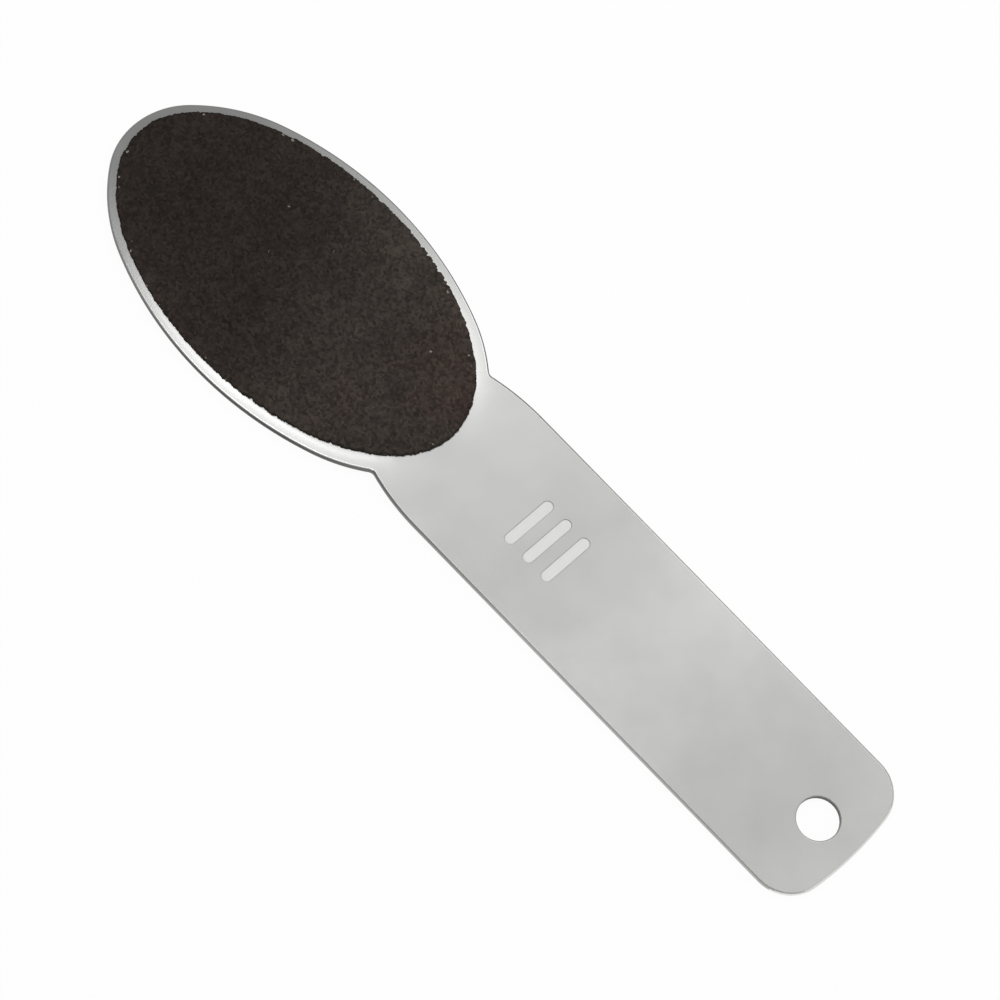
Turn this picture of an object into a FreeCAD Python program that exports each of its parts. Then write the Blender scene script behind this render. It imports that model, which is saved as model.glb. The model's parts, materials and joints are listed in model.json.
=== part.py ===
import FreeCAD, Part
import math
import os

# Foot file: a stamped steel paddle with a stick-on abrasive disc on each face of its oval head.
# Millimetres. X runs along the file, from the tip of the head to the end of the handle.
# Z points up through the front disc. The origin is at the middle of the length and the width,
# on the face of the rear disc, so the file lies on its rear disc.

# Paddle, seen from the front: the handle narrows a little from its shoulders to its end
overall_length = 200.0
head_length = 95.5
head_width = 52.7
handle_width = 33.6
handle_end_width = 32.3
shoulder_length = 13.2
shoulder_rise = 1.6
neck_corner_radius = 1.5
end_corner_radius = 8.0
end_bow_radius = 69.0

# Paddle, through its thickness: both edges of the outline are rounded for the hand
plate_thickness = 1.5
edge_radius = 0.4

# Hanging hole
hole_diameter = 8.2
hole_to_end = 9.1
hole_edge_radius = 0.25

# Thumb grip: short bars pressed into the front of the handle
grip_bar_count = 3
grip_bar_length = 12.0
grip_bar_width = 2.4
grip_bar_pitch = 5.0
grip_bar_depth = 0.15
grip_to_end = 81.0

# Abrasive discs: each is an adhesive film, a backing sheet and a coat of bonded grit,
# and leaves a bare rim of steel round it that is widest at the neck
side_rim = 2.0
tip_rim = 2.3
neck_rim = 3.9
film_thickness = 0.1
backing_thickness = 0.35
coat_thickness = 0.35
coat_edge_bevel = 0.12

# How far a cut runs past the face that it opens
overrun = 1.0

# How far the shoulder's arc runs on inside the head, as a share of its length
shoulder_root_share = 0.5

# An oval is drawn with three radii, each a share of a radius of the ellipse with the same length
# and width: the tip and the side of the ellipse's own radius there, the haunch of its mean radius
tip_radius_share = 1.09
haunch_radius_share = 1.07
side_radius_share = 0.94

# Places that follow from the sizes
head_half_length = head_length / 2
head_half_width = head_width / 2
handle_half_width = handle_width / 2
handle_end_half_width = handle_end_width / 2
tip_x = -overall_length / 2
end_x = overall_length / 2
head_x = tip_x + head_half_length
hole_x = end_x - hole_to_end
grip_x = end_x - grip_to_end
disc_half_length = (head_length - tip_rim - neck_rim) / 2
disc_half_width = head_half_width - side_rim
disc_x = tip_x + tip_rim + disc_half_length
disc_thickness = film_thickness + backing_thickness + coat_thickness
plate_bottom_z = disc_thickness
plate_top_z = plate_bottom_z + plate_thickness

# The neck is where the shoulders run into the oval of the head
neck_half_width = handle_half_width - shoulder_rise
neck_x = head_x + head_half_length * math.sqrt(1 - (neck_half_width / head_half_width) ** 2)
shoulder_end_x = neck_x + shoulder_length
taper_angle = math.atan2(handle_half_width - handle_end_half_width, end_x - shoulder_end_x)


def point(x, y, z):
    return FreeCAD.Vector(x, y, z)


def upward(height):
    return FreeCAD.Vector(0, 0, height)


def arc(centre_x, centre_y, radius, start_angle, end_angle, z):
    """An arc in a level plane, from one angle to the other by the way between them."""
    middle_angle = (start_angle + end_angle) / 2
    points = []
    for angle in (start_angle, middle_angle, end_angle):
        points.append(point(centre_x + radius * math.cos(angle), centre_y + radius * math.sin(angle), z))
    return Part.Arc(*points).toShape()


def line(start, end):
    return Part.LineSegment(start, end).toShape()


def oval_face(centre_x, half_length, half_width, z):
    """An oval of eight arcs that run smoothly into each other: two tips, two sides, four haunches."""
    tip_radius = tip_radius_share * half_width ** 2 / half_length
    side_radius = side_radius_share * half_length ** 2 / half_width
    haunch_radius = haunch_radius_share * math.sqrt(half_length * half_width)

    # A haunch's centre lies where its arc touches both the tip's arc and the side's arc
    tip_offset = half_length - tip_radius
    side_offset = half_width - side_radius
    to_tip = haunch_radius - tip_radius
    to_side = side_radius - haunch_radius
    between = math.hypot(tip_offset, side_offset)
    along = (to_tip ** 2 - to_side ** 2 + between ** 2) / (2 * between)
    aside = math.sqrt(to_tip ** 2 - along ** 2)
    haunch_x = tip_offset + (aside * side_offset - along * tip_offset) / between
    haunch_y = (aside * tip_offset + along * side_offset) / between
    tip_angle = math.atan2(-haunch_y, tip_offset - haunch_x)
    side_angle = math.atan2(haunch_y - side_offset, haunch_x)

    # One half of the oval, then the same half turned round
    edges = []
    for turn in (0, math.pi):
        way = math.cos(turn)
        near_x = centre_x + way * haunch_x
        far_x = centre_x - way * haunch_x
        level_y = way * haunch_y
        tip_end = turn + tip_angle
        side_start = turn + side_angle
        side_end = turn + math.pi - side_angle
        far_tip_start = turn + math.pi - tip_angle
        edges.append(arc(centre_x + way * tip_offset, 0, tip_radius, turn - tip_angle, tip_end, z))
        edges.append(arc(near_x, level_y, haunch_radius, tip_end, side_start, z))
        edges.append(arc(centre_x, way * side_offset, side_radius, side_start, side_end, z))
        edges.append(arc(far_x, level_y, haunch_radius, side_end, far_tip_start, z))
    return Part.Face(Part.Wire(edges))


def handle_face(z):
    """The handle from inside the head to its bowed end: shoulders, tapered sides, round corners."""
    lean_x = math.sin(taper_angle)
    lean_y = math.cos(taper_angle)
    side_angle = math.pi / 2 - taper_angle

    # Each shoulder is an arc from the neck that runs smoothly into the side
    chord_squared = shoulder_length ** 2 + shoulder_rise ** 2
    shoulder_radius = chord_squared / (2 * (shoulder_length * lean_x + shoulder_rise * lean_y))
    shoulder_x = shoulder_end_x - shoulder_radius * lean_x
    shoulder_y = handle_half_width - shoulder_radius * lean_y
    root_x = neck_x - shoulder_length * shoulder_root_share
    root_angle = math.acos((root_x - shoulder_x) / shoulder_radius)
    root_y = shoulder_y + shoulder_radius * math.sin(root_angle)

    # The end is one shallow arc that runs smoothly into the two corner arcs
    bow_x = end_x - end_bow_radius
    inner_x = shoulder_end_x - end_corner_radius * lean_x
    inner_y = handle_half_width - end_corner_radius * lean_y
    reach = (inner_x - bow_x) * lean_y - inner_y * lean_x
    offset_squared = (inner_x - bow_x) ** 2 + inner_y ** 2
    run = math.sqrt(reach ** 2 - offset_squared + (end_bow_radius - end_corner_radius) ** 2) - reach
    corner_x = inner_x + run * lean_y
    corner_y = inner_y - run * lean_x
    bow_angle = math.atan2(corner_y, corner_x - bow_x)
    side_end_x = shoulder_end_x + run * lean_y
    side_end_y = handle_half_width - run * lean_x

    edges = [
        line(point(root_x, -root_y, z), point(root_x, root_y, z)),
        arc(shoulder_x, shoulder_y, shoulder_radius, root_angle, side_angle, z),
        line(point(shoulder_end_x, handle_half_width, z), point(side_end_x, side_end_y, z)),
        arc(corner_x, corner_y, end_corner_radius, side_angle, bow_angle, z),
        arc(bow_x, 0, end_bow_radius, bow_angle, -bow_angle, z),
        arc(corner_x, -corner_y, end_corner_radius, -bow_angle, -side_angle, z),
        line(point(side_end_x, -side_end_y, z), point(shoulder_end_x, -handle_half_width, z)),
        arc(shoulder_x, -shoulder_y, shoulder_radius, -side_angle, -root_angle, z),
    ]
    return Part.Face(Part.Wire(edges))


def rounded_blank():
    """The stamped outline with filleted neck corners, rounded along both faces."""
    head = oval_face(head_x, head_half_length, head_half_width, plate_bottom_z)
    head = head.extrude(upward(plate_thickness))
    handle = handle_face(plate_bottom_z).extrude(upward(plate_thickness))
    blank = head.fuse(handle).removeSplitter()

    upright_edges = [edge for edge in blank.Edges if edge.BoundBox.ZLength > plate_thickness / 2]
    neck_corners = []
    for side in (1, -1):
        neck = point(neck_x, side * neck_half_width, plate_bottom_z + plate_thickness / 2)
        nearest = min(upright_edges, key=lambda edge: edge.CenterOfMass.distanceToPoint(neck))
        neck_corners.append(nearest)
    blank = blank.makeFillet(neck_corner_radius, neck_corners)

    face_edges = [edge for edge in blank.Edges if edge.BoundBox.ZLength < plate_thickness / 2]
    return blank.makeFillet(edge_radius, face_edges)


def grip_bar(x):
    """The cutter for one round-ended bar that lies across the handle."""
    radius = grip_bar_width / 2
    reach = grip_bar_length / 2 - radius
    floor_z = plate_top_z - grip_bar_depth
    edges = [
        arc(x, reach, radius, 0, math.pi, floor_z),
        line(point(x - radius, reach, floor_z), point(x - radius, -reach, floor_z)),
        arc(x, -reach, radius, -math.pi, 0, floor_z),
        line(point(x + radius, -reach, floor_z), point(x + radius, reach, floor_z)),
    ]
    return Part.Face(Part.Wire(edges)).extrude(upward(grip_bar_depth + overrun))


def file_plate():
    plate = rounded_blank()

    hole_start = point(hole_x, 0, plate_bottom_z - overrun)
    plate = plate.cut(Part.makeCylinder(hole_diameter / 2, plate_thickness + 2 * overrun, hole_start))
    hole_rims = []
    for edge in plate.Edges:
        round_edge = isinstance(edge.Curve, Part.Circle)
        if round_edge and edge.isClosed():
            hole_rims.append(edge)
    plate = plate.makeFillet(hole_edge_radius, hole_rims)

    for number in range(grip_bar_count):
        steps_from_middle = number - (grip_bar_count - 1) / 2
        plate = plate.cut(grip_bar(grip_x + steps_from_middle * grip_bar_pitch))
    return plate


def disc_layer(bottom_z, thickness):
    """One layer of a disc, die-cut to the oval that leaves the paddle's rim bare."""
    face = oval_face(disc_x, disc_half_length, disc_half_width, bottom_z)
    return face.extrude(upward(thickness))


def abrasive_coat(bottom_z, outer_z):
    """The coat of grit, bevelled a little by the die along its outer edge."""
    coat = disc_layer(bottom_z, coat_thickness)
    outer_edges = []
    for edge in coat.Edges:
        level = edge.BoundBox.ZLength < coat_thickness / 2
        if level and abs(edge.BoundBox.Center.z - outer_z) < coat_thickness / 2:
            outer_edges.append(edge)
    return coat.makeChamfer(coat_edge_bevel, outer_edges)


# Levels of the layers, outwards from each face of the paddle
front_backing_z = plate_top_z + film_thickness
front_coat_z = front_backing_z + backing_thickness
front_face_z = front_coat_z + coat_thickness
rear_film_z = plate_bottom_z - film_thickness
rear_backing_z = rear_film_z - backing_thickness
rear_coat_z = rear_backing_z - coat_thickness

pieces = {
    "file_plate": file_plate(),
    "front_adhesive_film": disc_layer(plate_top_z, film_thickness),
    "front_backing_sheet": disc_layer(front_backing_z, backing_thickness),
    "front_abrasive_coat": abrasive_coat(front_coat_z, front_face_z),
    "rear_adhesive_film": disc_layer(rear_film_z, film_thickness),
    "rear_backing_sheet": disc_layer(rear_backing_z, backing_thickness),
    "rear_abrasive_coat": abrasive_coat(rear_coat_z, rear_coat_z),
}

os.makedirs("parts", exist_ok=True)
for node, shape in pieces.items():
    if not shape.isValid() or len(shape.Solids) != 1:
        raise RuntimeError(node + " is not one sound solid")
    shape.Solids[0].exportStep("parts/" + node + ".step")
    print(node, round(shape.Volume, 1), "mm3")
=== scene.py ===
# Foot file: a satin steel paddle with an abrasive disc on each face of its oval head.
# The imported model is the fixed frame. Every size here is in metres, in that frame.
import json
import math
import random

import bmesh
import bpy
import numpy
from bpy.props import FloatProperty, FloatVectorProperty, IntProperty, PointerProperty
from mathutils import Matrix, Vector, noise


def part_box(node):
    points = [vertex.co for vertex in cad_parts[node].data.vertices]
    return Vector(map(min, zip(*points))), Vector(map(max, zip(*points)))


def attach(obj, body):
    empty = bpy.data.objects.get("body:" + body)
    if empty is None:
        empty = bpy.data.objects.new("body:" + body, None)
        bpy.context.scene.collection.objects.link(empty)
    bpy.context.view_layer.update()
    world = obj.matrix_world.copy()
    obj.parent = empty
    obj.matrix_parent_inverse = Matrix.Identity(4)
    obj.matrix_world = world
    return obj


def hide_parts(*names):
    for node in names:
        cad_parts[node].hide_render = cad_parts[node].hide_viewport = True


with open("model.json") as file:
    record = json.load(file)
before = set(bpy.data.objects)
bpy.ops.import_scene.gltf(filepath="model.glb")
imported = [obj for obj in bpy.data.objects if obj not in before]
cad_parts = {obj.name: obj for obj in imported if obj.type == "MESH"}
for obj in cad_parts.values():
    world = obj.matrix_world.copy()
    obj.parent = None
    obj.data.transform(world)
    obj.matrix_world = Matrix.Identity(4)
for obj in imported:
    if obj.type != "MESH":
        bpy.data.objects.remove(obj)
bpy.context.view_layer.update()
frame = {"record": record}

bl_info = {
    "name": "Foot File",
    "version": (1, 0, 0),
    "blender": (4, 5, 0),
    "location": "3D View > Sidebar > Foot File",
    "description": "Models a steel foot file with its abrasive discs, and a studio to show it in",
    "category": "Add Mesh",
}

MM = 0.001

# Places and sizes that the frame already settles
plate_low, plate_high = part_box("file_plate")
disc_low, disc_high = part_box("front_backing_sheet")
tip_x = plate_low.x
end_x = plate_high.x
disc_x = (disc_low.x + disc_high.x) / 2
disc_half_length = (disc_high.x - disc_low.x) / 2
disc_half_width = (disc_high.y - disc_low.y) / 2
mounts = {mount["name"]: mount for mount in frame["record"]["mounts"]}
hole_mount = mounts["hanging_hole"]


def linear(hex_value):
    """The linear colour of an sRGB hex value."""
    channels = []
    for start in (0, 2, 4):
        value = int(hex_value[start:start + 2], 16) / 255
        if value <= 0.04045:
            channels.append(value / 12.92)
        else:
            channels.append(((value + 0.055) / 1.055) ** 2.4)
    return tuple(channels)


def length(name, description, size):
    return FloatProperty(
        name=name, description=description, default=size, min=0.0, precision=5, unit="LENGTH"
    )


def share(name, description, amount):
    return FloatProperty(
        name=name, description=description, default=amount, min=0.0, max=4.0, subtype="FACTOR"
    )


def colour(name, description, hex_value):
    return FloatVectorProperty(
        name=name,
        description=description,
        default=linear(hex_value),
        min=0.0,
        max=1.0,
        size=3,
        subtype="COLOR",
    )


class PaddleSettings(bpy.types.PropertyGroup):
    """Sizes and colours of the steel paddle."""

    head_length: length("Head length", "Length of the oval head, on to where it would close", 95.5 * MM)
    handle_width: length("Handle width", "Width of the handle at its shoulders", 33.6 * MM)
    handle_end_width: length("Handle end width", "Width of the handle at its end", 32.3 * MM)
    shoulder_length: length("Shoulder length", "From the neck to where the handle is widest", 13.2 * MM)
    shoulder_rise: length("Shoulder rise", "How far each shoulder stands out from the neck", 1.6 * MM)
    neck_corner_radius: length("Neck corner", "Radius of the inside corner at the neck", 1.5 * MM)
    end_corner_radius: length("End corner", "Radius of the two corners of the handle", 8.0 * MM)
    end_bow_radius: length("End bow", "Radius of the bowed end of the handle", 69.0 * MM)
    edge_radius: length("Edge rounding", "Rounding of the stamped edges", 0.4 * MM)
    crown_drop: length("Crown drop", "How far the steel falls away round the disc", 0.36 * MM)
    crown_reach: length("Crown reach", "How quickly the steel falls away round the disc", 3.2 * MM)
    hole_radius: length("Hole radius", "Radius of the hanging hole", hole_mount["dims"]["r_mm"] * MM)
    hole_edge_radius: length("Hole rounding", "Rounding of both rims of the hanging hole", 0.25 * MM)
    grip_bar_count: IntProperty(name="Grip bars", description="Pressed bars on the handle", default=3, min=1)
    grip_bar_length: length("Grip bar length", "Length of a pressed bar", 12.0 * MM)
    grip_bar_width: length("Grip bar width", "Width of a pressed bar", 2.4 * MM)
    grip_bar_pitch: length("Grip bar pitch", "From one pressed bar to the next", 5.0 * MM)
    grip_bar_depth: length("Grip bar depth", "Depth of a pressed bar", 0.15 * MM)
    grip_to_end: length("Grip to end", "From the middle bar to the end of the handle", 81.0 * MM)
    steel_colour: colour("Steel", "Colour of the satin steel", "b1b1b0")
    coined_colour: colour("Coined steel", "Colour of the pressed bars", "c2c2c0")
    # A painted highlight: the end of the handle is given pale steel for the light it would catch
    end_highlight_colour: colour("Tumbled end", "Colour of the rounded end of the handle", "e6e6e4")
    # Partly the dull cut steel's own colour, partly painted shade for the shadowed floor that the edges and
    # the bore would mirror
    sheared_and_shaded_colour: colour("Sheared edge", "Colour of the sheared edges and the bore", "545453")


class DiscSettings(bpy.types.PropertyGroup):
    """Sizes and colours of the abrasive discs."""

    coarse_grain: length("Coarse grain", "Width of a grain on the front disc", 0.55 * MM)
    fine_grain: length("Fine grain", "Width of a grain on the rear disc", 0.4 * MM)
    grain_relief: length("Grain relief", "How deep the coat is between the grains", 0.16 * MM)
    edge_wobble: length("Edge wobble", "How unevenly the disc's edge is cut", 0.3 * MM)
    nick_depth: length("Nick depth", "How deep the deepest nicks in the disc's edge are", 0.7 * MM)
    nick_count: IntProperty(name="Nicks", description="Nicks round the disc's edge", default=70, min=0)
    askew: FloatProperty(
        name="Askew",
        description="How far the front disc is turned",
        default=math.radians(0.65),
        subtype="ANGLE",
    )
    off_line: length("Off line", "How far the front disc is stuck on beside the middle line", 0.12 * MM)
    warm_colour: colour("Warm grains", "Colour of the reddish grains", "2e2320")
    brown_colour: colour("Brown grains", "Colour of most of the grains", "2a2420")
    # The grains' colour where the painted light is strongest, a little less red
    lit_side_colour: colour("Dusty grains", "Colour of the grains where dust has gathered", "282420")
    # Painted glints: the colour of the few grains that stand for glints
    glint_colour: colour("Pale grains", "Colour of the few pale grains", "8a847c")
    backing_colour: colour("Backing", "Colour of the backing paper", "2b241f")
    adhesive_colour: colour("Adhesive", "Colour of the adhesive", "6b6250")


class StageSettings(bpy.types.PropertyGroup):
    """The floor, the lights and the camera."""

    floor_size: length("Floor", "Width of the floor", 12.0)
    floor_colour: colour("Floor colour", "Colour of the floor", "fafafa")
    panel_strength: share("Panel", "Brightness of the wide panel overhead", 0.62)
    back_strength: share("Back light", "Brightness of the small softbox behind the file", 1.55)
    top_strength: share("Top light", "Brightness of the small softbox above the head", 3.0)
    room_strength: share("Room light", "Brightness of the room", 0.45)


# Helpers for modelling by hand


def clear_selection():
    """Leave edit mode and select nothing, so that the next operator acts on its own piece only."""
    if bpy.context.object and bpy.context.object.mode != "OBJECT":
        bpy.ops.object.mode_set(mode="OBJECT")
    bpy.ops.object.select_all(action="DESELECT")


def open_piece(name):
    """Name the primitive that was just added, put its place in its mesh and open it for editing."""
    piece = bpy.context.object
    piece.name = name
    piece.data.name = name
    bpy.ops.object.transform_apply(location=True, rotation=True, scale=True)
    bpy.ops.object.mode_set(mode="EDIT")
    return piece


def select_parts(piece, kind, test):
    """Select the vertices, edges or faces that pass a test of their place or normal."""
    bpy.ops.mesh.select_mode(type=kind)
    bpy.ops.mesh.select_all(action="DESELECT")
    mesh = bmesh.from_edit_mesh(piece.data)
    parts = {"VERT": mesh.verts, "EDGE": mesh.edges, "FACE": mesh.faces}[kind]
    count = 0
    for part in parts:
        if test(part):
            part.select_set(True)
            count += 1
    mesh.select_flush_mode()
    bmesh.update_edit_mesh(piece.data)
    if count == 0:
        raise RuntimeError("nothing to select on " + piece.name)
    return count


def edge_level(edge):
    """The height of a level edge, or nothing for an edge that climbs."""
    first, second = edge.verts
    if abs(first.co.z - second.co.z) > 1e-7:
        return None
    return first.co.z


def apply_modifiers(piece):
    clear_selection()
    piece.select_set(True)
    bpy.context.view_layer.objects.active = piece
    for modifier in list(piece.modifiers):
        bpy.ops.object.modifier_apply(modifier=modifier.name)


def finish_piece(piece, nodes, smooth_angle):
    """Check that a piece is closed, shade it and hand it to the frame."""
    clear_selection()
    piece.select_set(True)
    bpy.context.view_layer.objects.active = piece
    mesh = bmesh.new()
    mesh.from_mesh(piece.data)
    open_edges = sum(1 for edge in mesh.edges if not edge.is_manifold)
    mesh.free()
    if open_edges:
        raise RuntimeError("%s has %d open edges" % (piece.name, open_edges))
    bpy.ops.object.shade_smooth_by_angle(angle=smooth_angle)
    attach(piece, "root")
    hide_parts(*nodes)


def crossing(first, first_reach, second, second_reach, side):
    """The point at set distances from two centres, on the left (1) or the right (-1) of the way between."""
    way = second - first
    between = way.length
    along = (first_reach ** 2 - second_reach ** 2 + between ** 2) / (2 * between)
    aside = side * math.sqrt(first_reach ** 2 - along ** 2)
    way.normalize()
    return first + way * along + Vector((-way.y, way.x)) * aside


def angle_of(direction):
    return math.atan2(direction.y, direction.x)


# Materials


def add_node(tree, kind, links=None, **settings):
    """Add a node with its settings. Each link is a value for a socket or another node's output."""
    node = tree.nodes.new(kind)
    for name, value in settings.items():
        setattr(node, name, value)
    for name, value in (links or {}).items():
        if isinstance(value, bpy.types.NodeSocket):
            tree.links.new(value, node.inputs[name])
        else:
            node.inputs[name].default_value = value
    return node


def start_material(name):
    material = bpy.data.materials.new(name)
    material.use_nodes = True
    material.node_tree.nodes.clear()
    return material


def close_material(tree, sockets):
    """Add the shader, with what goes into its sockets, as the surface."""
    shader = add_node(tree, "ShaderNodeBsdfPrincipled", sockets)
    add_node(tree, "ShaderNodeOutputMaterial", {"Surface": shader.outputs[0]})


def opaque(value):
    return (value[0], value[1], value[2], 1.0)


def object_place(tree):
    return add_node(tree, "ShaderNodeTexCoord").outputs["Object"]


def stretched(tree, place, scale):
    """The place, with a scale of its own for each axis."""
    return add_node(tree, "ShaderNodeMapping", {"Vector": place, "Scale": scale}).outputs[0]


def cloud(tree, place, scale, detail, roughness=0.5):
    """Soft noise, as a value between 0 and 1."""
    links = {"Vector": place, "Scale": scale, "Detail": detail, "Roughness": roughness}
    return add_node(tree, "ShaderNodeTexNoise", links).outputs["Fac"]


def carried(tree, value, low, high, start=0.0, stop=1.0, way="LINEAR"):
    """A value carried over from one range to another, and held at both ends."""
    links = {"Value": value, "From Min": start, "From Max": stop, "To Min": low, "To Max": high}
    return add_node(tree, "ShaderNodeMapRange", links, interpolation_type=way).outputs[0]


def reckon(tree, operation, *values):
    return add_node(tree, "ShaderNodeMath", dict(enumerate(values)), operation=operation).outputs[0]


def toned(tree, tint, tone):
    """A colour made lighter or darker."""
    return add_node(tree, "ShaderNodeVectorMath", {0: tint, "Scale": tone}, operation="SCALE").outputs[0]


def blended(tree, second_share, first, second):
    """Two colours mixed by the share of the second one."""
    links = {0: second_share, 6: first, 7: second}
    return add_node(tree, "ShaderNodeMix", links, data_type="RGBA").outputs[2]


def raised(tree, height, depth, strength=1.0, under=None):
    """A bump of a real depth, over another bump where there is one."""
    links = {"Height": height, "Strength": strength, "Distance": depth}
    if under is not None:
        links["Normal"] = under
    return add_node(tree, "ShaderNodeBump", links).outputs[0]


def satin_steel(settings):
    """Stainless sheet, rolled and then brushed to a satin: soft cloudy bands and a fine even grain."""
    material = start_material("satin_stainless_steel_brushed")
    tree = material.node_tree
    place = object_place(tree)

    # Waves left by the rollers, about 30 mm long, and the handling haze, about 9 mm across
    waves = cloud(tree, place, scale=33.0, detail=1.0, roughness=0.4)
    haze = cloud(tree, place, scale=110.0, detail=3.0, roughness=0.6)

    # Soft bands across the sheet, about 58 mm apart, that the rolling left a little lighter and darker
    bands = add_node(
        tree,
        "ShaderNodeTexWave",
        {
            "Vector": place,
            "Scale": 5.4,
            "Distortion": 1.2,
            "Detail": 1.0,
            "Detail Scale": 5.7,
            "Phase Offset": 4.0,
        },
    )
    band_tone = carried(tree, bands.outputs["Fac"], low=0.935, high=1.06)
    haze_tone = carried(tree, haze, low=0.95, high=1.05)
    tone = reckon(tree, "MULTIPLY", band_tone, haze_tone)

    # Brush marks along the file. Real ones are 0.05 mm wide, drawn 0.3 mm wide so that they show
    marks = cloud(tree, stretched(tree, place, (120.0, 3300.0, 3300.0)), scale=1.0, detail=2.0)
    wave_bump = raised(tree, waves, depth=0.12 * MM)
    close_material(
        tree,
        {
            "Base Color": toned(tree, tuple(settings.steel_colour), tone),
            "Metallic": 1.0,
            "Roughness": carried(tree, haze, low=0.2, high=0.29),
            "Normal": raised(tree, marks, depth=0.0015 * MM, under=wave_bump),
        },
    )
    return material


def pale_steel(name, tint):
    """Steel that a punch has rubbed: paler and more even than the satin round it. At the end of the handle
    the same pale steel is a painted highlight.
    """
    material = start_material(name)
    tree = material.node_tree
    grain = cloud(tree, object_place(tree), scale=900.0, detail=3.0)
    rough = carried(tree, grain, low=0.3, high=0.45)
    close_material(tree, {"Base Color": opaque(tint), "Metallic": 1.0, "Roughness": rough})
    return material


def shaded_sheared_steel(settings, name, shade_lift):
    """The edge that the stamping die left: dull and scored up and down. Its dark colour is partly the cut
    steel's own and partly painted shade for the shadowed floor it would mirror. A larger shade lift makes it
    paler away from the near side of the head.
    """
    material = start_material(name)
    tree = material.node_tree
    place = object_place(tree)

    # Painted shade: the edge stays darkest at the near side of the head, and grows paler along the handle, a
    # little less towards the tip, and on the far side
    spot = add_node(tree, "ShaderNodeSeparateXYZ", {"Vector": place})
    to_handle = reckon(tree, "ADD", spot.outputs["X"], 40 * MM)
    to_tip = reckon(tree, "MULTIPLY", to_handle, -0.8)
    distance = reckon(tree, "MAXIMUM", to_handle, to_tip)
    along_tone = carried(tree, distance, low=1.0, high=1.0 + 4.5 * shade_lift, start=12 * MM, stop=70 * MM)
    across_tone = carried(
        tree, spot.outputs["Y"], low=1.0, high=1.0 + 1.5 * shade_lift, start=-10 * MM, stop=10 * MM
    )
    tone = reckon(tree, "MAXIMUM", along_tone, across_tone)

    # Score marks run through the thickness, about 0.4 mm apart
    scores = cloud(tree, stretched(tree, place, (2500.0, 2500.0, 300.0)), scale=1.0, detail=2.0)
    close_material(
        tree,
        {
            "Base Color": toned(tree, tuple(settings.sheared_and_shaded_colour), tone),
            "Metallic": 1.0,
            "Roughness": carried(tree, scores, low=0.42, high=0.6),
            "Normal": raised(tree, scores, depth=0.03 * MM),
        },
    )
    return material


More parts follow.
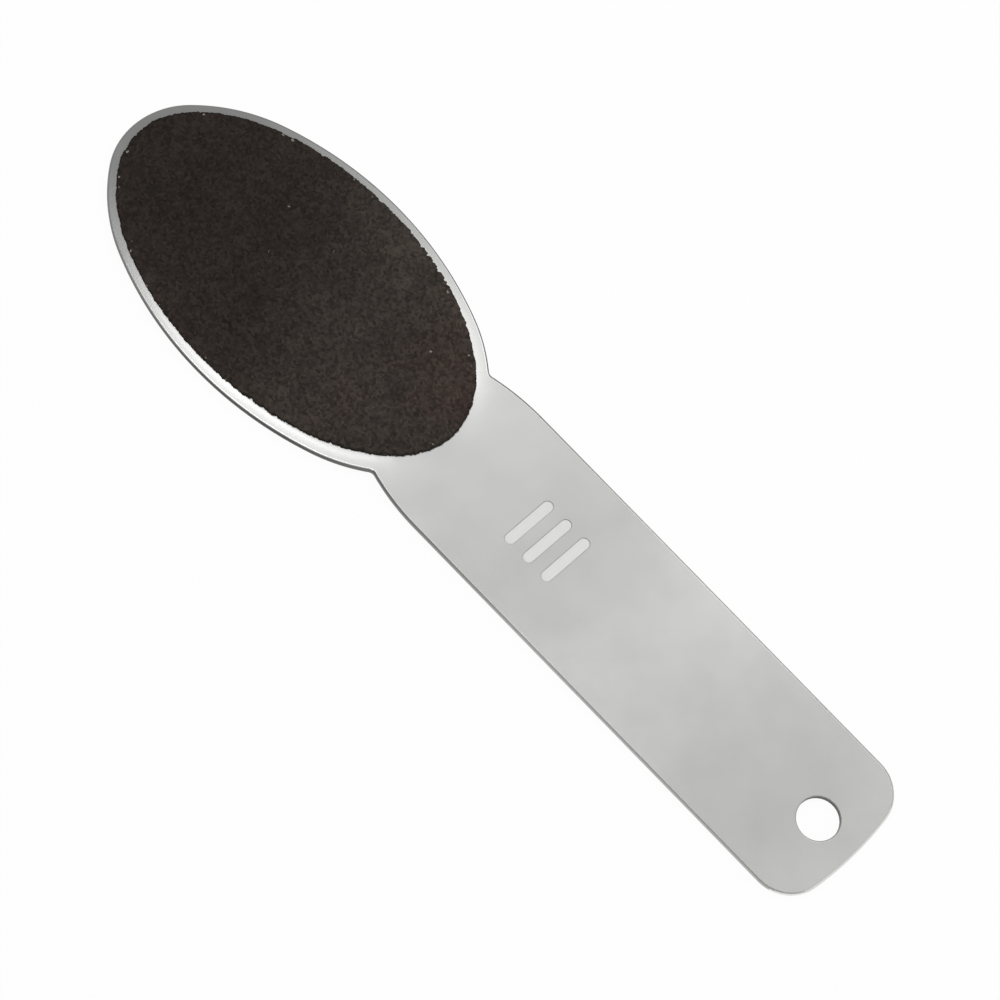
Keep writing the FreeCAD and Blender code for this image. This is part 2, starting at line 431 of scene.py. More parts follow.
def bonded_grit(name, settings, grain, low_z, high_z):
    """Grains set in dark resin: each grain a tone of its own, with painted shade in the gaps, painted light
    towards the neck, a few pale grains as painted glints, and a dull gloss.
    """
    material = start_material(name)
    tree = material.node_tree
    place = object_place(tree)
    spot = add_node(tree, "ShaderNodeSeparateXYZ", {"Vector": place})
    grains = add_node(tree, "ShaderNodeTexVoronoi", {"Vector": place, "Scale": 1.0 / grain})
    chance = add_node(tree, "ShaderNodeSeparateColor", {"Color": grains.outputs["Color"]})

    # Patches where reddish grains gather, 2 to 14 mm across, mostly towards the neck
    patches = cloud(tree, place, scale=70.0, detail=3.0, roughness=0.55)
    patch_share = carried(tree, patches, low=0.0, high=1.0, start=0.35, stop=0.7)
    neck_share = carried(
        tree,
        spot.outputs["X"],
        low=0.1,
        high=0.85,
        start=disc_x + 0.35 * disc_half_length,
        stop=disc_x + 0.85 * disc_half_length,
        way="SMOOTHSTEP",
    )
    warmth = reckon(tree, "MULTIPLY", patch_share, neck_share)

    # Painted light: the grains grow lighter towards the neck, more on one side, where the light falls. The
    # same share takes some of the red out of the grains
    slant = reckon(tree, "MULTIPLY_ADD", spot.outputs["Y"], 0.4, spot.outputs["X"])
    painted_light_share = carried(
        tree,
        slant,
        low=0.0,
        high=1.0,
        start=disc_x - 0.22 * disc_half_length,
        stop=disc_x + 0.45 * disc_half_length,
        way="SMOOTHSTEP",
    )
    painted_light_tone = carried(tree, painted_light_share, low=1.13, high=2.1)
    lit_side_mix = blended(tree, painted_light_share, opaque(settings.brown_colour), opaque(settings.lit_side_colour))
    mottled = blended(tree, warmth, lit_side_mix, opaque(settings.warm_colour))

    # The disc grows a little lighter along both sides
    aside = reckon(tree, "ABSOLUTE", spot.outputs["Y"])
    side_lightening = carried(
        tree, aside, low=1.0, high=1.25, start=0.4 * disc_half_width, stop=disc_half_width, way="SMOOTHSTEP"
    )

    # Clumps of grains, 1 to 5 mm across
    clumps = cloud(tree, place, scale=200.0, detail=3.0, roughness=0.7)
    clump_tone = carried(tree, clumps, low=0.72, high=1.28, start=0.2, stop=0.8)

    # Each grain is lighter or darker, and the gaps between the grains are darkest, as painted shade
    shade = carried(tree, spot.outputs["Z"], low=0.65, high=1.1, start=low_z, stop=high_z)
    grain_tone = carried(tree, chance.outputs["Red"], low=0.6, high=1.4)
    # The painted shade of the gaps and the painted light towards the neck go into the same tone as the
    # grains' own tones
    for tone in (grain_tone, clump_tone, painted_light_tone, side_lightening):
        shade = reckon(tree, "MULTIPLY", shade, tone)

    # Painted glints: one grain in a few thousand is pale, and about two in a hundred along the torn edge
    middle = (-disc_x, 0.0, 0.0)
    from_middle = add_node(tree, "ShaderNodeVectorMath", {0: place, 1: middle}, operation="ADD")
    oval = (1 / disc_half_length, 1 / disc_half_width, 0.0)
    in_oval = add_node(
        tree, "ShaderNodeVectorMath", {0: from_middle.outputs[0], 1: oval}, operation="MULTIPLY"
    )
    ring = add_node(tree, "ShaderNodeVectorMath", {0: in_oval.outputs[0]}, operation="LENGTH")
    torn = carried(tree, ring.outputs["Value"], low=0.0, high=0.018, start=0.97, stop=0.985)
    pale_chance = reckon(tree, "ADD", chance.outputs["Blue"], torn)
    pale = carried(tree, pale_chance, low=0.0, high=1.0, start=0.9997, stop=0.9999)
    close_material(
        tree,
        {
            "Base Color": blended(tree, pale, toned(tree, mottled, shade), opaque(settings.glint_colour)),
            "Roughness": carried(tree, chance.outputs["Green"], low=0.5, high=0.8),
            "IOR": 1.55,
            "Specular IOR Level": 0.08,
            "Normal": raised(tree, grains.outputs["Distance"], depth=0.2 * grain, strength=0.6),
        },
    )
    return material


def filled_paper(settings):
    """Backing paper soaked in resin: dark, matt, with fibres that catch the light at a cut edge."""
    material = start_material("resin_filled_backing_paper")
    tree = material.node_tree
    flat = stretched(tree, object_place(tree), (900.0, 900.0, 9000.0))
    fibres = cloud(tree, flat, scale=1.0, detail=4.0)
    tone = carried(tree, fibres, low=0.6, high=1.4)
    close_material(
        tree,
        {
            "Base Color": toned(tree, tuple(settings.backing_colour), tone),
            "Roughness": 0.8,
            "Specular IOR Level": 0.25,
            "Normal": raised(tree, fibres, depth=0.03 * MM),
        },
    )
    return material


def tacky_film(settings):
    """Acrylic adhesive film, coated and slit: a dull amber, a little glossy where it is squeezed out."""
    material = start_material("acrylic_adhesive_film_coated")
    tree = material.node_tree
    strands = cloud(tree, object_place(tree), scale=1200.0, detail=3.0)
    tone = carried(tree, strands, low=0.75, high=1.25)
    close_material(
        tree,
        {
            "Base Color": toned(tree, tuple(settings.adhesive_colour), tone),
            "Roughness": carried(tree, strands, low=0.3, high=0.6),
            "IOR": 1.47,
        },
    )
    return material


def studio_floor(settings):
    """Pale sweep. Seen straight or in the steel it is near white, and it keeps a soft share of the shadow."""
    material = start_material("matt_paper_sweep")
    tree = material.node_tree
    path = add_node(tree, "ShaderNodeLightPath")
    seen = reckon(tree, "MAXIMUM", path.outputs["Is Camera Ray"], path.outputs["Is Glossy Ray"])
    seen_through = reckon(tree, "MAXIMUM", seen, path.outputs["Is Transmission Ray"])
    white_share = reckon(tree, "MULTIPLY", seen_through, 0.95)
    paper = add_node(tree, "ShaderNodeBsdfDiffuse", {"Color": opaque(settings.floor_colour)})
    white = add_node(tree, "ShaderNodeEmission", {"Strength": 1.0})
    mixed = add_node(tree, "ShaderNodeMixShader", {0: white_share, 1: paper.outputs[0], 2: white.outputs[0]})
    add_node(tree, "ShaderNodeOutputMaterial", {"Surface": mixed.outputs[0]})
    return material


# Steel paddle

ARC_STEP = 1.2 * MM
ARC_TURN = math.radians(6)
BEVEL_SEGMENTS = 6
GRID_SPAN = 24
# A face with more corners than this is one that was filled in one go
BIG_FACE = 50
SAME_LEVEL = 1e-6

# The radii of the head's oval, as shares of those of an ellipse or of its mean radius
TIP_RADIUS_SHARE = 1.09
HAUNCH_RADIUS_SHARE = 1.07
SIDE_RADIUS_SHARE = 0.94

# Loops inside the edge, rings round the hole, and where the top starts to fall under the disc
EDGE_LOOPS = (0.15 * MM, 0.4 * MM, 0.5 * MM, 0.5 * MM, 0.6 * MM)
HOLE_RINGS = (0.7 * MM, 0.35 * MM, 0.0)
HOLE_MARGIN = 1.6 * MM
CROWN_START = 0.4 * MM

# The paddle's finishes, in the order of its material slots
SATIN, CUT_EDGE, BAR, BORE, END = range(5)


def draw_arc(centre, radius, turn, z):
    """Carry the pen, the one selected vertex, round a centre. A positive turn is anticlockwise."""
    steps = max(math.ceil(abs(turn) * radius / ARC_STEP), math.ceil(abs(turn) / ARC_TURN))
    # Spin turns clockwise about an axis that points up, so this axis points down
    bpy.ops.mesh.spin(steps=steps, angle=turn, center=(centre.x, centre.y, z), axis=(0, 0, -1))


def draw_line(way):
    """Carry the pen along a straight run, in even steps."""
    steps = math.ceil(way.length / ARC_STEP)
    step = way / steps
    for number in range(steps):
        bpy.ops.mesh.extrude_region_move(TRANSFORM_OT_translate={"value": (step.x, step.y, 0)})


def draw_paddle_side(sizes, z):
    """Draw one side of the outline, from the tip over the head, neck and handle to the end."""
    half_length = sizes.head_length / 2
    half_width = plate_high.y
    head = Vector((tip_x + half_length, 0.0))

    # The oval of the head: a tip, a haunch and a side of three radii that run into each other
    tip_radius = TIP_RADIUS_SHARE * half_width ** 2 / half_length
    haunch_radius = HAUNCH_RADIUS_SHARE * math.sqrt(half_length * half_width)
    side_radius = SIDE_RADIUS_SHARE * half_length ** 2 / half_width
    tip = Vector((half_length - tip_radius, 0.0))
    side = Vector((0.0, half_width - side_radius))
    haunch = crossing(tip, haunch_radius - tip_radius, side, side_radius - haunch_radius, -1)
    tip_angle = angle_of(tip - haunch)
    side_angle = angle_of(haunch - side)

    # The shoulder: an arc from the neck that runs into the tapered side
    shoulder_half = sizes.handle_width / 2
    neck_half = shoulder_half - sizes.shoulder_rise
    neck_x = head.x + half_length * math.sqrt(1 - (neck_half / half_width) ** 2)
    shoulder_end = Vector((neck_x + sizes.shoulder_length, shoulder_half))
    taper = math.atan2(shoulder_half - sizes.handle_end_width / 2, end_x - shoulder_end.x)
    lean = Vector((math.sin(taper), math.cos(taper)))
    chord = sizes.shoulder_length ** 2 + sizes.shoulder_rise ** 2
    rise = sizes.shoulder_length * lean.x + sizes.shoulder_rise * lean.y
    shoulder_radius = chord / (2 * rise)
    shoulder = shoulder_end - lean * shoulder_radius

    # The inside corner at the neck touches the haunch and the shoulder
    near_haunch = head + haunch
    corner_radius = sizes.neck_corner_radius
    neck = crossing(near_haunch, haunch_radius + corner_radius, shoulder, shoulder_radius + corner_radius, 1)
    neck_start = angle_of(neck - near_haunch)
    neck_end = angle_of(neck - shoulder)

    # The end: a shallow bow that runs into a round corner
    bow = Vector((end_x - sizes.end_bow_radius, 0.0))
    inner = shoulder_end - lean * sizes.end_corner_radius
    run = Vector((lean.y, -lean.x))
    reach = (inner - bow).dot(run)
    spare = (sizes.end_bow_radius - sizes.end_corner_radius) ** 2 - (inner - bow).length_squared
    side_run = run * (math.sqrt(reach ** 2 + spare) - reach)
    corner = inner + side_run
    bow_angle = angle_of(corner - bow)

    draw_arc(head - tip, tip_radius, -tip_angle, z)
    draw_arc(head + Vector((-haunch.x, haunch.y)), haunch_radius, tip_angle - side_angle, z)
    draw_arc(head + side, side_radius, 2 * side_angle - math.pi, z)
    draw_arc(near_haunch, haunch_radius, neck_start - side_angle, z)
    draw_arc(neck, corner_radius, neck_end - neck_start, z)
    draw_arc(shoulder, shoulder_radius, angle_of(lean) - neck_end, z)
    draw_line(side_run)
    draw_arc(corner, sizes.end_corner_radius, bow_angle - angle_of(lean), z)
    draw_arc(bow, sizes.end_bow_radius, -bow_angle, z)


def crown_fall(sizes, x, y, under):
    """How far the steel has fallen below the flat that carries the disc, from a little under its edge."""
    across = Vector(((x - disc_x) / disc_half_length, y / disc_half_width))
    ring = across.length
    if ring < 0.5:
        return 0.0
    slope = math.hypot(across.x / disc_half_length, across.y / disc_half_width) / ring
    outside = (ring - 1.0) / slope + under
    if outside <= 0:
        return 0.0
    return sizes.crown_drop * (1 - math.exp(-outside / sizes.crown_reach))


def at_level(face_z):
    """A test for the faces that lie at a level."""
    return lambda face: abs(face.calc_center_median().z - face_z) < SAME_LEVEL


def on_rim(face_z):
    """A test for the open edges at a level."""
    return lambda edge: edge.is_boundary and abs(edge_level(edge) - face_z) < SAME_LEVEL


def refill_face(piece, face_z):
    """Swap the one big face at a level for a grid of small ones, in rows across the file."""
    level_face = at_level(face_z)
    select_parts(piece, "FACE", lambda face: level_face(face) and len(face.verts) > BIG_FACE)
    bpy.ops.mesh.delete(type="ONLY_FACE")
    select_parts(piece, "EDGE", on_rim(face_z))
    mesh = bmesh.from_edit_mesh(piece.data)
    tip_vertex = min((vertex for vertex in mesh.verts if vertex.select), key=lambda vertex: vertex.co.x)
    mesh.select_history.clear()
    mesh.select_history.add(tip_vertex)
    bpy.ops.mesh.fill_grid(span=GRID_SPAN, offset=-GRID_SPAN // 2)


class FOOTFILE_OT_steel_paddle(bpy.types.Operator):
    """Model the stamped steel paddle: outline, rounded edges, crown, hanging hole and pressed bars"""

    bl_idname = "foot_file.steel_paddle"
    bl_label = "Steel Paddle"

    def execute(self, context):
        sizes = context.scene.foot_file_paddle
        bottom_z = plate_low.z
        top_z = plate_high.z
        hole = Vector((hole_mount["pos_m"][0], 0.0))
        piece = self.stamp_blank(sizes, bottom_z, top_z)
        self.pierce_hole(sizes, piece, hole, bottom_z, top_z)

        # The crown: the flat stays under the disc, and the steel round it falls away
        middle_z = (bottom_z + top_z) / 2
        for vertex in piece.data.vertices:
            under = CROWN_START if vertex.co.z > middle_z else 0.0
            vertex.co.z -= crown_fall(sizes, vertex.co.x, vertex.co.y, under)

        self.press_bars(sizes, piece, top_z)
        self.give_finishes(sizes, piece, hole, top_z)
        finish_piece(piece, ["file_plate"], math.radians(28))
        return {"FINISHED"}

    def stamp_blank(self, sizes, bottom_z, top_z):
        # One vertex at the tip draws one side, which is mirrored and filled
        clear_selection()
        bpy.ops.mesh.primitive_plane_add(size=1 * MM, location=(tip_x, 0, bottom_z))
        piece = open_piece("steel_paddle")
        bpy.ops.mesh.merge(type="CENTER")
        draw_paddle_side(sizes, bottom_z)
        bpy.ops.mesh.select_all(action="SELECT")
        bpy.ops.mesh.duplicate()
        bpy.ops.transform.resize(value=(1, -1, 1), center_override=(0, 0, 0))
        bpy.ops.mesh.select_all(action="SELECT")
        bpy.ops.mesh.remove_doubles(threshold=0.01 * MM)
        bpy.ops.mesh.edge_face_add()

        # Thickness, then the rounding that the die and the tumbling barrel leave on both edges
        bpy.ops.mesh.extrude_region_move(TRANSFORM_OT_translate={"value": (0, 0, top_z - bottom_z)})
        bpy.ops.mesh.select_all(action="SELECT")
        bpy.ops.mesh.normals_make_consistent(inside=False)
        select_parts(piece, "EDGE", lambda edge: edge_level(edge) is not None)
        bpy.ops.mesh.bevel(
            offset=sizes.edge_radius,
            segments=BEVEL_SEGMENTS,
            profile=0.5,
            affect="EDGES",
            clamp_overlap=False,
        )

        # Loops that hold the flat by the edge, then a grid over the rest
        for face_z in (top_z, bottom_z):
            select_parts(piece, "FACE", at_level(face_z))
            for inset in EDGE_LOOPS:
                bpy.ops.mesh.inset(thickness=inset, use_even_offset=True)
            refill_face(piece, face_z)
        return piece

    def pierce_hole(self, sizes, piece, hole, bottom_z, top_z):
        """Open both faces, draw each opening in to a ring, bridge the rings and round both rims."""
        opening = sizes.hole_radius + HOLE_MARGIN
        select_parts(
            piece,
            "FACE",
            lambda face: abs(face.normal.z) > 0.9 and (face.calc_center_median().xy - hole).length < opening,
        )
        bpy.ops.mesh.delete(type="FACE")
        for face_z in (top_z, bottom_z):
            select_parts(piece, "EDGE", on_rim(face_z))
            bpy.ops.mesh.subdivide(number_cuts=2)
            select_parts(piece, "EDGE", on_rim(face_z))
            for outside in HOLE_RINGS:
                bpy.ops.mesh.extrude_region_move(TRANSFORM_OT_translate={"value": (0, 0, 0)})
                mesh = bmesh.from_edit_mesh(piece.data)
                for vertex in mesh.verts:
                    if vertex.select:
                        spoke = (vertex.co.xy - hole).normalized()
                        vertex.co.xy = hole + spoke * (sizes.hole_radius + outside)
                bmesh.update_edit_mesh(piece.data)
        select_parts(piece, "EDGE", lambda edge: edge.is_boundary)
        bpy.ops.mesh.bridge_edge_loops()
        hole_rim = sizes.hole_radius + 0.01 * MM
        select_parts(
            piece,
            "EDGE",
            lambda edge: edge_level(edge) is not None
            and all((vertex.co.xy - hole).length < hole_rim for vertex in edge.verts),
        )
        bpy.ops.mesh.bevel(
            offset=sizes.hole_edge_radius, segments=4, profile=0.5, affect="EDGES", clamp_overlap=False
        )
        bpy.ops.mesh.select_all(action="SELECT")
        bpy.ops.mesh.normals_make_consistent(inside=False)
        bpy.ops.object.mode_set(mode="OBJECT")

    def press_bars(self, sizes, piece, top_z):
        """Model one punch, copy it and cut the copies into the handle."""
        clear_selection()
        floor_radius = sizes.grip_bar_width / 2 - 0.1 * MM
        reach = sizes.grip_bar_length / 2 - sizes.grip_bar_width / 2
        local_top = top_z - sizes.crown_drop
        rise = sizes.grip_bar_depth * 2
        widening = 0.2 * MM
        grip_x = end_x - sizes.grip_to_end
        first_x = grip_x - sizes.grip_bar_pitch * (sizes.grip_bar_count - 1) / 2
        segments = 32
        bpy.ops.mesh.primitive_circle_add(
            vertices=segments,
            radius=floor_radius,
            location=(first_x, 0, local_top - sizes.grip_bar_depth),
            rotation=(0, 0, math.pi / segments),
            fill_type="NGON",
        )
        punch = open_piece("grip_punch")
        bpy.ops.mesh.extrude_region_move(TRANSFORM_OT_translate={"value": (0, 0, rise)})
        grow = 1 + widening / floor_radius
        bpy.ops.transform.resize(value=(grow, grow, 1), center_override=(first_x, 0, local_top))
        for way in (1, -1):
            select_parts(punch, "VERT", lambda vertex: vertex.co.y * way > 0 and abs(vertex.co.y) < 2 * MM)
            bpy.ops.transform.translate(value=(0, way * reach, 0))
        bpy.ops.mesh.select_all(action="SELECT")
        bpy.ops.mesh.normals_make_consistent(inside=False)
        for number in range(1, sizes.grip_bar_count):
            bpy.ops.mesh.duplicate()
            bpy.ops.transform.translate(value=(sizes.grip_bar_pitch, 0, 0))
        clear_selection()
        cut = piece.modifiers.new("press", "BOOLEAN")
        cut.operation = "DIFFERENCE"
        cut.solver = "EXACT"
        cut.object = punch
        apply_modifiers(piece)
        bpy.data.objects.remove(punch)

    def give_finishes(self, sizes, piece, hole, top_z):
        """Satin steel but for the sheared edges, the pressed bars, the bore and the pale end. The edges and
        the bore carry painted shade, and the end a painted highlight.
        """
        edge_steel = shaded_sheared_steel(sizes, "stainless_steel_sheared_edge_painted_shade", 1.0)
        bore_steel = shaded_sheared_steel(sizes, "stainless_steel_pierced_bore", 0.0)
        bar_steel = pale_steel("stainless_steel_coined_bars", sizes.coined_colour)
        end_steel = pale_steel("stainless_steel_end_painted_highlight", sizes.end_highlight_colour)
        for material in (satin_steel(sizes), edge_steel, bar_steel, bore_steel, end_steel):
            piece.data.materials.append(material)
        grip_x = end_x - sizes.grip_to_end
        grip_reach = sizes.grip_bar_pitch * sizes.grip_bar_count
        bar_top = top_z - sizes.crown_drop - 0.02 * MM
        bar_bottom = top_z - sizes.crown_drop - sizes.grip_bar_depth - 0.05 * MM
        for face in piece.data.polygons:
            level = abs(face.normal.z)
            by_hole = (face.center.xy - hole).length < sizes.hole_radius + 0.5 * sizes.hole_edge_radius
            along_grip = abs(face.center.x - grip_x)
            by_bars = along_grip < grip_reach and abs(face.center.y) < sizes.grip_bar_length / 2
            if by_hole:
                face.material_index = BORE if level < 0.5 else SATIN
            elif by_bars and bar_bottom < face.center.z < bar_top:
                face.material_index = BAR
            # Painted highlight: the faces at the handle's end get pale steel
            elif face.center.x > hole.x and face.normal.x > 0.35 and level < 0.95:
                face.material_index = END
            # Painted shade: the dark edge steel covers the rounding up to a level that differs by side and
            # place
            elif level < self.dark_edge_level(face):
                face.material_index = CUT_EDGE

    def dark_edge_level(self, face):
        """How far up the rounding the dark edge steel reaches, as painted shade. It reaches higher on the far
        side and along the handle, where it hides the highlight that the rounding would show.
        """
        if face.normal.y > 0.2:
            return 0.93
        if face.center.x < disc_x + 0.89 * disc_half_length:
            return 0.72
        return 0.995


# Abrasive discs

EDGE_SAMPLES = 1440
# The uneven edge pulls the coat's grid in by this power of the distance from the middle
EDGE_PULL = 24
WORN_WIDTH = 0.35 * MM
WORN_DEPTH = 0.12 * MM


def disc_edge(settings, seed):
    """How far the disc's edge lies inside its oval, all the way round: an uneven cut with small nicks."""
    chance = random.Random(seed)
    nicks = []
    for number in range(settings.nick_count):
        nicks.append((chance.uniform(0, 2 * math.pi), chance.uniform(0.004, 0.01), chance.random() ** 3))
    edge = []
    for sample in range(EDGE_SAMPLES):
        turn = 2 * math.pi * sample / EDGE_SAMPLES
        around = Vector((math.cos(turn), math.sin(turn), 0.1 * seed))
        wave = noise.noise(around * 14)
        ripple = noise.noise(around * 45)
        teeth = noise.noise(around * 110)
        inside = settings.edge_wobble * (0.4 * wave + 0.4 * ripple + 0.7 * teeth)
        for place, width, depth in nicks:
            away = abs((turn - place + math.pi) % (2 * math.pi) - math.pi)
            if away < width:
                inside += settings.nick_depth * depth * (1 - (away / width) ** 2)
        edge.append(inside)
    return numpy.array(edge)


def edge_inside(edge, turn):
    """The edge's distance inside the oval at any angles."""
    places = (turn % (2 * math.pi)) * EDGE_SAMPLES / (2 * math.pi)
    closed = numpy.append(edge, edge[0])
    return numpy.interp(places, numpy.arange(EDGE_SAMPLES + 1), closed)


def read_places(piece):
    places = numpy.empty(3 * len(piece.data.vertices))
    piece.data.vertices.foreach_get("co", places)
    return places.reshape(-1, 3)


def write_places(piece, places):
    piece.data.vertices.foreach_set("co", places.reshape(-1))
    piece.data.update()


def stick_on(settings, face, places):
    """Put a layer of the front disc where it was stuck by hand: a little askew and off the middle line."""
    if face == "rear":
        return
    along = places[:, 0] - disc_x
    across = places[:, 1].copy()
    places[:, 0] = disc_x + along * math.cos(settings.askew) - across * math.sin(settings.askew)
    places[:, 1] = along * math.sin(settings.askew) + across * math.cos(settings.askew) + settings.off_line


def cut_sheet(name, settings, face, seed, extra_inside, low_z, high_z):
    """A thin die-cut layer of a disc, with the same uneven edge as the coat on it."""
    clear_selection()
    count = EDGE_SAMPLES // 2
    bpy.ops.mesh.primitive_circle_add(vertices=count, radius=1.0, location=(0, 0, 0), fill_type="NGON")
    piece = open_piece(name)
    bpy.ops.object.mode_set(mode="OBJECT")
    places = read_places(piece)
    turn = numpy.arctan2(places[:, 1], places[:, 0])
    inside = edge_inside(disc_edge(settings, seed), turn) + extra_inside
    places[:, 0] = disc_x + (disc_half_length - inside) * numpy.cos(turn)
    places[:, 1] = (disc_half_width - inside) * numpy.sin(turn)
    places[:, 2] = low_z
    stick_on(settings, face, places)
    write_places(piece, places)
    bpy.ops.object.mode_set(mode="EDIT")
    bpy.ops.mesh.select_all(action="SELECT")
    bpy.ops.mesh.extrude_region_move(TRANSFORM_OT_translate={"value": (0, 0, high_z - low_z)})
    bpy.ops.mesh.select_all(action="SELECT")
    bpy.ops.mesh.normals_make_consistent(inside=False)
    bpy.ops.object.mode_set(mode="OBJECT")
    return piece


class FOOTFILE_OT_adhesive_films(bpy.types.Operator):
    """Model the film of adhesive under each disc"""

    bl_idname = "foot_file.adhesive_films"
    bl_label = "Adhesive Films"

    def execute(self, context):
        settings = context.scene.foot_file_discs
        material = tacky_film(settings)
        for seed, face in enumerate(("front", "rear"), 1):
            node = face + "_adhesive_film"
            low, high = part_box(node)
            piece = cut_sheet(face + "_glue_film", settings, face, seed, 0.06 * MM, low.z, high.z)
            piece.data.materials.append(material)
            finish_piece(piece, [node], math.radians(30))
        return {"FINISHED"}


class FOOTFILE_OT_backing_sheets(bpy.types.Operator):
    """Model the backing sheet of each disc"""

    bl_idname = "foot_file.backing_sheets"
    bl_label = "Backing Sheets"

    def execute(self, context):
        settings = context.scene.foot_file_discs
        material = filled_paper(settings)
        for seed, face in enumerate(("front", "rear"), 1):
            node = face + "_backing_sheet"
            low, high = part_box(node)
            piece = cut_sheet(face + "_paper_backing", settings, face, seed, 0.02 * MM, low.z, high.z)
            piece.data.materials.append(material)
            finish_piece(piece, [node], math.radians(30))
        return {"FINISHED"}


def relief_texture(name, kind, size):
    """A pattern for the grains' relief, at a real size."""
    texture = bpy.data.textures.new(name, type=kind)
    texture.noise_scale = size
    return texture


class FOOTFILE_OT_abrasive_coats(bpy.types.Operator):
    """Model the coat of bonded grit on each disc: a rough face, a worn edge and nicks"""

    bl_idname = "foot_file.abrasive_coats"
    bl_label = "Abrasive Coats"

    def execute(self, context):
        settings = context.scene.foot_file_discs
        self.coat(settings, "front", 1, 1, settings.coarse_grain, 0.22 * MM)
        self.coat(settings, "rear", 2, -1, settings.fine_grain, 0.26 * MM)
        return {"FINISHED"}

    def coat(self, settings, face, seed, way, grain, cell):
        node = face + "_abrasive_coat"
        low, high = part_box(node)
        outer_z = high.z if way > 0 else low.z
        inner_z = low.z if way > 0 else high.z
        rows = round(2 * disc_half_length / cell)
        columns = round(2 * disc_half_width / cell)
        clear_selection()
        bpy.ops.mesh.primitive_grid_add(
            x_subdivisions=rows, y_subdivisions=columns, size=2.0, location=(0, 0, 0)
        )
        piece = open_piece(face + "_grit_coat")
        bpy.ops.object.mode_set(mode="OBJECT")

        # The grid is drawn into the oval, pulled in along the uneven edge and worn down beside it
        places = read_places(piece)
        u = places[:, 0].copy()
        v = places[:, 1].copy()
        across_x = u * numpy.sqrt(1 - v ** 2 / 2)
        across_y = v * numpy.sqrt(1 - u ** 2 / 2)
        ring = numpy.sqrt(across_x ** 2 + across_y ** 2)
        turn = numpy.arctan2(across_y, across_x)
        inside = edge_inside(disc_edge(settings, seed), turn) * ring ** EDGE_PULL
        places[:, 0] = disc_x + (disc_half_length - inside) * across_x
        places[:, 1] = (disc_half_width - inside) * across_y
        to_edge = (1 - ring) * disc_half_width
        worn = numpy.clip(1 - to_edge / WORN_WIDTH, 0, 1) ** 2
        places[:, 2] = outer_z - way * WORN_DEPTH * worn
        stick_on(settings, face, places)
        write_places(piece, places)

        # The face that gets the grains is marked, then the coat gets its thickness
        group = piece.vertex_groups.new(name="grit_face")
        group.add(range(len(piece.data.vertices)), 1.0, "REPLACE")
        bpy.ops.object.mode_set(mode="EDIT")
        select_parts(piece, "EDGE", lambda edge: edge.is_boundary)
        bpy.ops.mesh.extrude_region_move(TRANSFORM_OT_translate={"value": (0, 0, 0)})
        rim = bmesh.from_edit_mesh(piece.data)
        for vertex in rim.verts:
            if vertex.select:
                vertex.co.z = inner_z
        bmesh.update_edit_mesh(piece.data)
        bpy.ops.mesh.edge_face_add()
        bpy.ops.mesh.select_all(action="SELECT")
        bpy.ops.mesh.normals_make_consistent(inside=False)
        bpy.ops.object.mode_set(mode="OBJECT")
        piece.vertex_groups["grit_face"].remove(
            [vertex.index for vertex in piece.data.vertices if abs(vertex.co.z - inner_z) < 1e-6]
        )

        # Grains, smaller grains and slow swells. Each only goes inwards, so the coat keeps its height
        for name, kind, size, depth in (
            ("grains", "VORONOI", grain, 0.5),
            ("small_grains", "VORONOI", grain * 0.55, 0.3),
            ("swells", "CLOUDS", grain * 4, 0.2),
        ):
            relief = piece.modifiers.new(name, "DISPLACE")
            relief.texture = relief_texture(face + "_" + name, kind, size)
            relief.texture_coords = "LOCAL"
            relief.direction = "Z"
            relief.mid_level = 1.0
            relief.strength = way * depth * settings.grain_relief
            relief.vertex_group = "grit_face"
        apply_modifiers(piece)
        shallow = outer_z - way * settings.grain_relief
        piece.data.materials.append(
            bonded_grit(
                "resin_bonded_grit_" + face, settings, grain, min(shallow, outer_z), max(shallow, outer_z)
            )
        )
        finish_piece(piece, [node], math.radians(60))


# Studio


def softbox(name, place, aim, width, depth, brightness):
    """A soft light that faces its aim. Its power is worked out from how bright it should look."""
    light = bpy.data.lights.new(name, "AREA")
    light.shape = "RECTANGLE"
    light.size = width
    light.size_y = depth
    light.energy = brightness * math.pi * width * depth
    lamp = bpy.data.objects.new(name, light)
    facing = (Vector(place) - Vector(aim)).to_track_quat("Z", "Y").to_matrix().to_4x4()
    lamp.matrix_world = Matrix.Translation(Vector(place)) @ facing
    bpy.context.scene.collection.objects.link(lamp)
    return lamp


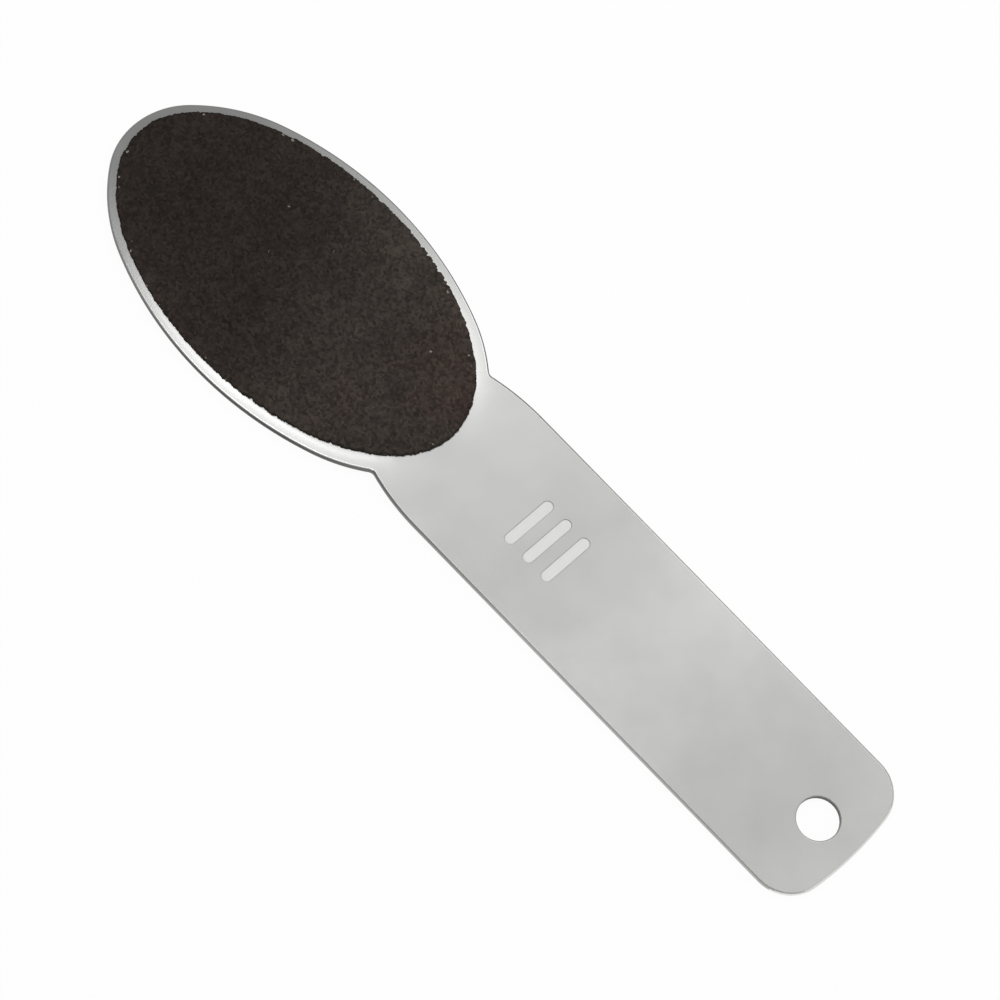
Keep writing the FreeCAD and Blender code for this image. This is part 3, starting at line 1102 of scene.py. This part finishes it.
class FOOTFILE_OT_studio(bpy.types.Operator):
    """Set the stage: a pale floor, soft lights and the camera"""

    bl_idname = "foot_file.studio"
    bl_label = "Studio"

    def execute(self, context):
        settings = context.scene.foot_file_stage
        scene = context.scene
        clear_selection()
        bpy.ops.mesh.primitive_plane_add(size=settings.floor_size, location=(0, 0, 0))
        floor = bpy.context.object
        floor.name = "studio_floor"
        floor.data.materials.append(studio_floor(settings))

        world = bpy.data.worlds.new("studio_room")
        world.use_nodes = True
        background = world.node_tree.nodes["Background"]
        background.inputs["Color"].default_value = (1.0, 1.0, 1.0, 1.0)
        background.inputs["Strength"].default_value = settings.room_strength
        scene.world = world

        aim = Vector((7.12 * MM, -1.17 * MM, 2.3 * MM))
        # A wide panel overhead that ends above the head, and two small boxes that light the rim
        softbox("ceiling_panel", (1.355, 0.72, 1.0), (1.355, 0.72, 0.0), 3.61, 1.76, settings.panel_strength)
        softbox("back_softbox", (-0.13, 0.64, 0.9), aim, 0.4, 0.4, settings.back_strength)
        softbox("top_softbox", (-0.3, -0.09, 1.05), aim, 0.4, 0.4, settings.top_strength)

        self.place_camera(scene, aim)
        scene.view_settings.view_transform = "Standard"
        return {"FINISHED"}

    def place_camera(self, scene, aim):
        azimuth = math.radians(35.715)
        elevation = math.radians(68.281)
        roll = math.radians(11.963)
        distance = 451.42 * MM
        back = Vector(
            (
                math.sin(azimuth) * math.cos(elevation),
                -math.cos(azimuth) * math.cos(elevation),
                math.sin(elevation),
            )
        )
        level_right = Vector((math.cos(azimuth), math.sin(azimuth), 0.0))
        level_up = back.cross(level_right)
        right = level_right * math.cos(roll) + level_up * math.sin(roll)
        up = back.cross(right)
        data = bpy.data.cameras.new("studio_camera")
        data.lens = 85.875
        data.sensor_width = 36.0
        data.sensor_fit = "HORIZONTAL"
        data.clip_start = 0.01
        camera = bpy.data.objects.new("studio_camera", data)
        turned = Matrix((right, up, back)).transposed().to_4x4()
        camera.matrix_world = Matrix.Translation(aim + back * distance) @ turned
        scene.collection.objects.link(camera)
        scene.camera = camera


class FOOTFILE_PT_panel(bpy.types.Panel):
    """Lists the foot file's pieces and their settings"""

    bl_idname = "FOOTFILE_PT_panel"
    bl_label = "Foot File"
    bl_space_type = "VIEW_3D"
    bl_region_type = "UI"
    bl_category = "Foot File"

    def draw(self, context):
        scene = context.scene
        groups = (
            (scene.foot_file_paddle, ["foot_file.steel_paddle"]),
            (
                scene.foot_file_discs,
                ["foot_file.adhesive_films", "foot_file.backing_sheets", "foot_file.abrasive_coats"],
            ),
            (scene.foot_file_stage, ["foot_file.studio"]),
        )
        for settings, operators in groups:
            box = self.layout.box()
            for operator in operators:
                box.operator(operator)
            for name in settings.__annotations__:
                box.prop(settings, name)


CLASSES = (
    PaddleSettings,
    DiscSettings,
    StageSettings,
    FOOTFILE_OT_steel_paddle,
    FOOTFILE_OT_adhesive_films,
    FOOTFILE_OT_backing_sheets,
    FOOTFILE_OT_abrasive_coats,
    FOOTFILE_OT_studio,
    FOOTFILE_PT_panel,
)


def register():
    for each in CLASSES:
        bpy.utils.register_class(each)
    bpy.types.Scene.foot_file_paddle = PointerProperty(type=PaddleSettings)
    bpy.types.Scene.foot_file_discs = PointerProperty(type=DiscSettings)
    bpy.types.Scene.foot_file_stage = PointerProperty(type=StageSettings)


def unregister():
    del bpy.types.Scene.foot_file_stage
    del bpy.types.Scene.foot_file_discs
    del bpy.types.Scene.foot_file_paddle
    for each in reversed(CLASSES):
        bpy.utils.unregister_class(each)


def main():
    register()
    bpy.ops.foot_file.steel_paddle()
    bpy.ops.foot_file.adhesive_films()
    bpy.ops.foot_file.backing_sheets()
    bpy.ops.foot_file.abrasive_coats()
    bpy.ops.foot_file.studio()
    clear_selection()


if __name__ == "__main__":
    main()
